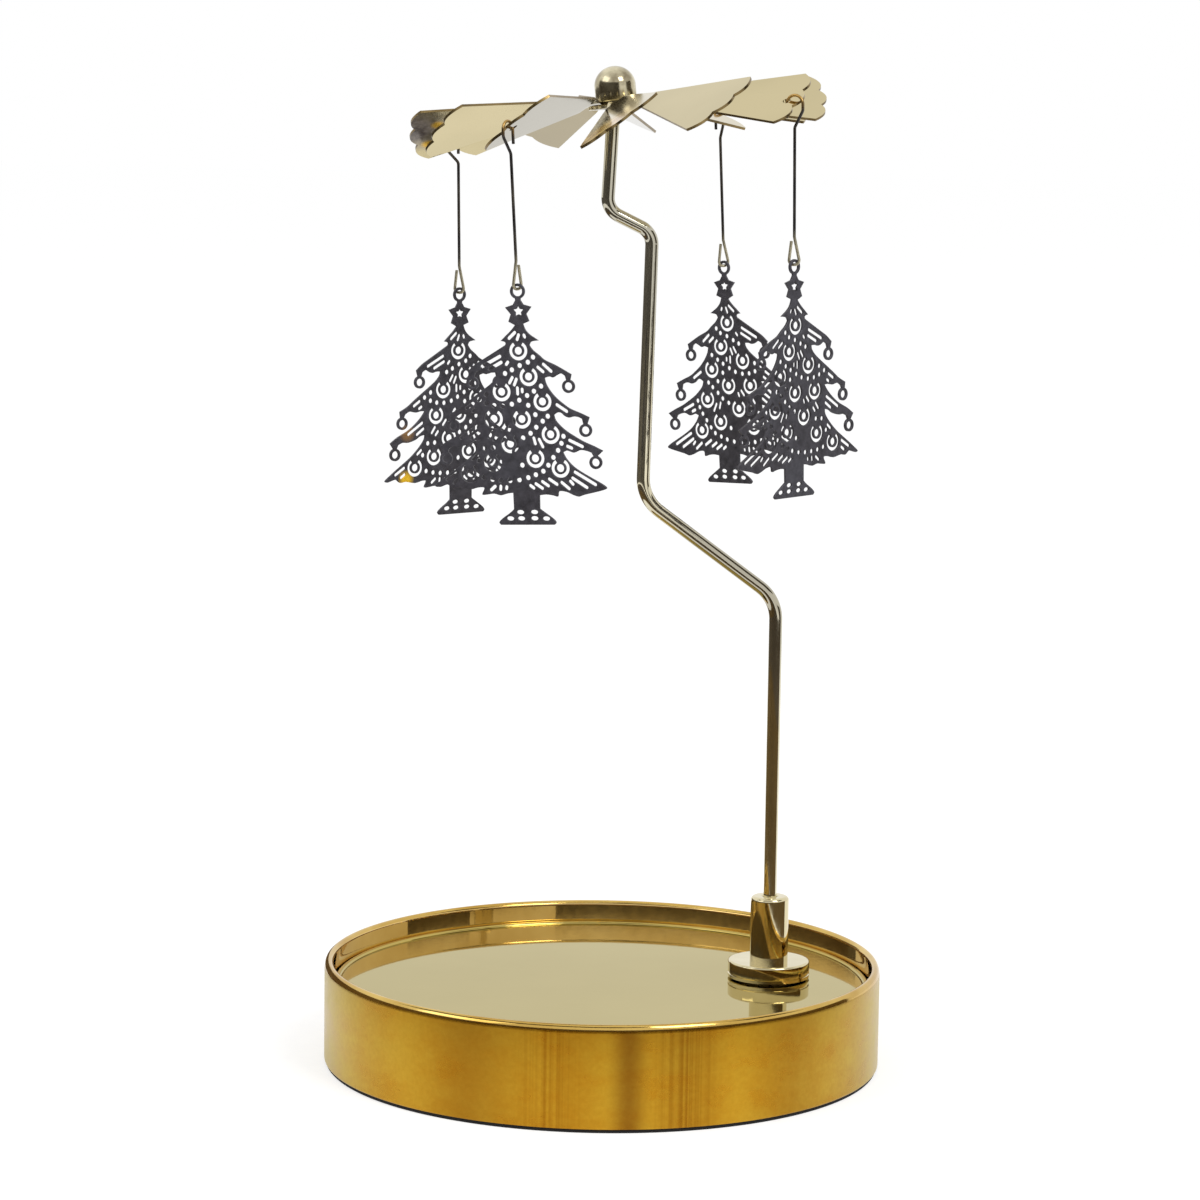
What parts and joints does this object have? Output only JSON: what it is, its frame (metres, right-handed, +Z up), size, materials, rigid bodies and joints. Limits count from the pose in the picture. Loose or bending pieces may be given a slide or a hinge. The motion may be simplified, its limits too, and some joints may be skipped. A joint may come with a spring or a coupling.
{
  "type": "rotating candle holder",
  "caption": "Round brass candle tray with a bent rod on a magnetic foot; warm air turns a scalloped-blade rotor on the rod's point, with cut-out tree pendants hung from it on wires.",
  "frame": {"origin": "middle of the underside, on the table", "axes": "+Z up; +X towards the foot's side, to the right in the picture; +Y away from the viewer"},
  "size_m": [0.084, 0.084, 0.1498],
  "materials": {
    "tray_brass": "satin, brushed round the band, polished rim",
    "mirror_brass": "mirror polished pale brass",
    "foot_brass": "polished pale brass",
    "rod_brass": "polished brass wire",
    "hub_brass": "turned and polished",
    "blade_brass": "thin polished sheet",
    "dark_plate": "dark plated, satin, with brass showing at a few edges",
    "wire": "dark drawn wire",
    "magnet": "plated magnet",
    "pad": "black foam pad"
  },
  "bodies": {
    "base": {"tray_ring": "tray_brass", "mirror_floor": "mirror_brass", "base_pad": "pad"},
    "foot": {"foot_cup": "foot_brass", "foot_magnet": "magnet", "socket_tube": "foot_brass"},
    "rod": {"bent_rod": "rod_brass"},
    "rotor": {"hub_cap": "hub_brass", "hub_washer": "hub_brass", "fan_sheet": "blade_brass"},
    "hanger_1": {"hanger_1": "wire"},
    "tree_1": {"tree_1": "dark_plate"},
    "hanger_2": {"hanger_2": "wire"},
    "tree_2": {"tree_2": "dark_plate"},
    "hanger_3": {"hanger_3": "wire"},
    "tree_3": {"tree_3": "dark_plate"},
    "hanger_4": {"hanger_4": "wire"},
    "tree_4": {"tree_4": "dark_plate"}
  },
  "joints": [
    {"name": "foot_swivel", "type": "hinge", "parent": "base", "child": "foot", "pos_m": [0.02538, 0.00402, 0.0122], "axis": [0, 0, 1], "continuous": true},
    {"name": "rod_lift", "type": "slide", "parent": "foot", "child": "rod", "axis": [0, 0, 1], "range_m": [0, 0.0086]},
    {"name": "rotor_spin", "type": "hinge", "parent": "rod", "child": "rotor", "pos_m": [0, 0, 0.1468], "axis": [0, 0, 1], "continuous": true},
    {"name": "hanger_1_swing", "type": "hinge", "parent": "rotor", "child": "hanger_1", "pos_m": [0.02577, -0.01573, 0.14482], "axis": [-0.5, -0.866, 0], "range_deg": [-8, 30]},
    {"name": "tree_1_swing", "type": "hinge", "parent": "hanger_1", "child": "tree_1", "pos_m": [0.02617, -0.01573, 0.1219], "axis": [0.707, -0.7071, 0.0123], "range_deg": [-15, 15]},
    {"name": "hanger_2_swing", "type": "hinge", "parent": "rotor", "child": "hanger_2", "pos_m": [-0.01501, -0.02561, 0.14077], "axis": [-0.866, 0.5, 0], "range_deg": [-8, 30]},
    {"name": "tree_2_swing", "type": "hinge", "parent": "hanger_2", "child": "tree_2", "pos_m": [-0.01343, -0.02518, 0.1184], "axis": [0.2919, 0.9563, 0.0173], "range_deg": [-15, 15]},
    {"name": "hanger_3_swing", "type": "hinge", "parent": "rotor", "child": "hanger_3", "pos_m": [-0.02468, 0.01534, 0.13814], "axis": [0.5, 0.866, 0], "range_deg": [-8, 30]},
    {"name": "tree_3_swing", "type": "hinge", "parent": "hanger_3", "child": "tree_3", "pos_m": [-0.02315, 0.01469, 0.11525], "axis": [-0.5877, 0.809, -0.0103], "range_deg": [-15, 15]},
    {"name": "hanger_4_swing", "type": "hinge", "parent": "rotor", "child": "hanger_4", "pos_m": [0.0161, 0.02523, 0.1422], "axis": [0.866, -0.5, 0], "range_deg": [-8, 30]},
    {"name": "tree_4_swing", "type": "hinge", "parent": "hanger_4", "child": "tree_4", "pos_m": [0.01718, 0.02523, 0.1193], "axis": [-0.6286, -0.7771, -0.0296], "range_deg": [-15, 15]}
  ]
}
